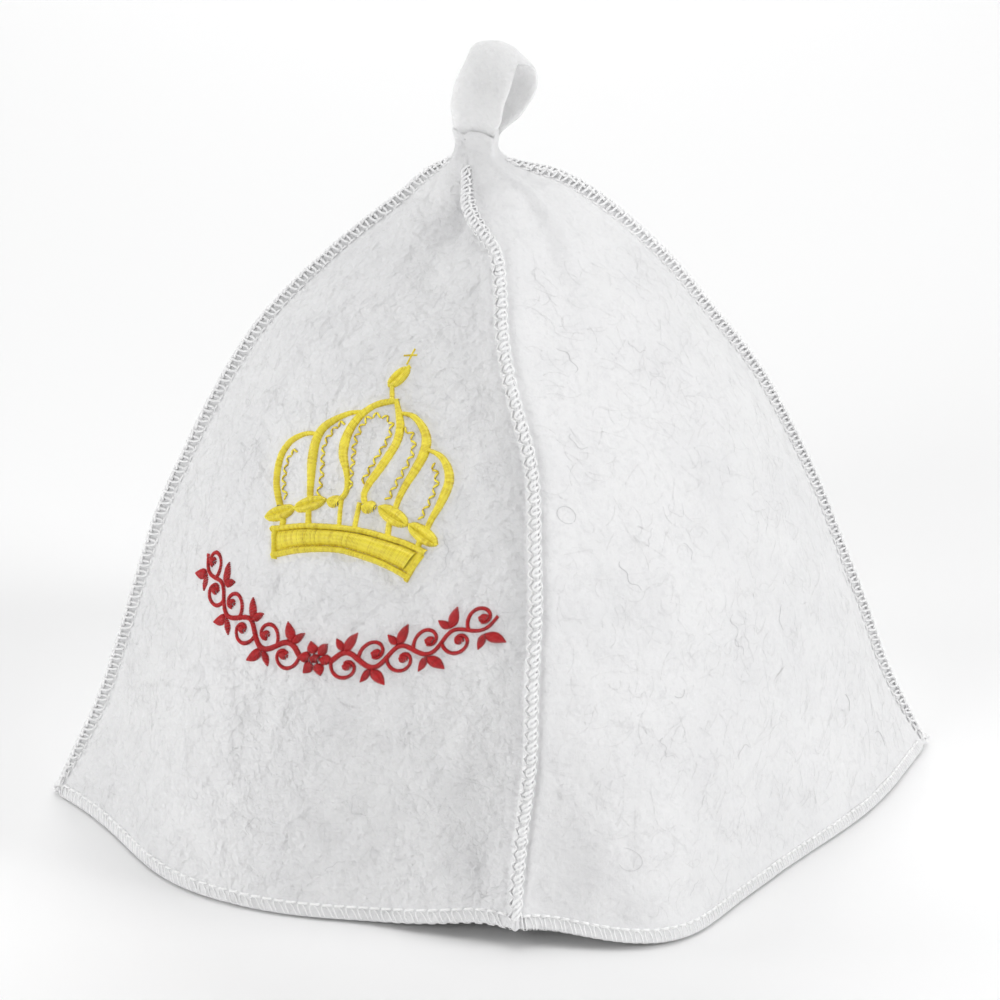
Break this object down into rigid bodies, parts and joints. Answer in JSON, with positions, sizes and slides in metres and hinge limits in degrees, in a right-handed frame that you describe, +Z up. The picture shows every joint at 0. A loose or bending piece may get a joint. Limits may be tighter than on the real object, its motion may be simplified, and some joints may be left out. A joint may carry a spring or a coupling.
{
  "type": "felt sauna hat",
  "caption": "Bell-shaped felt sauna hat: gores sewn with outward overlocked seams, flared overlocked hem, felt hanging loop at the tip, embroidered crown on a front gore.",
  "frame": {"origin": "middle of the hat's box on the surface that the hem stands on", "axes": "+Z up along the crown to the hanging loop, -Y towards the front seam, +X towards the right seam"},
  "size_m": [0.2648, 0.253, 0.2232],
  "materials": {
    "white_felt": "matte pressed wool felt with loose fuzz",
    "white_thread": "glossy spun polyester overlock thread",
    "gold_thread": "glossy rayon embroidery thread in satin stitch",
    "red_thread": "glossy rayon embroidery thread in satin stitch",
    "grey_wool": "single loose wool hairs"
  },
  "bodies": {
    "root": {"front_left_panel": "white_felt", "front_right_panel": "white_felt", "back_right_panel": "white_felt", "back_left_panel": "white_felt", "hanging_loop": "white_felt"}
  },
  "joints": []
}
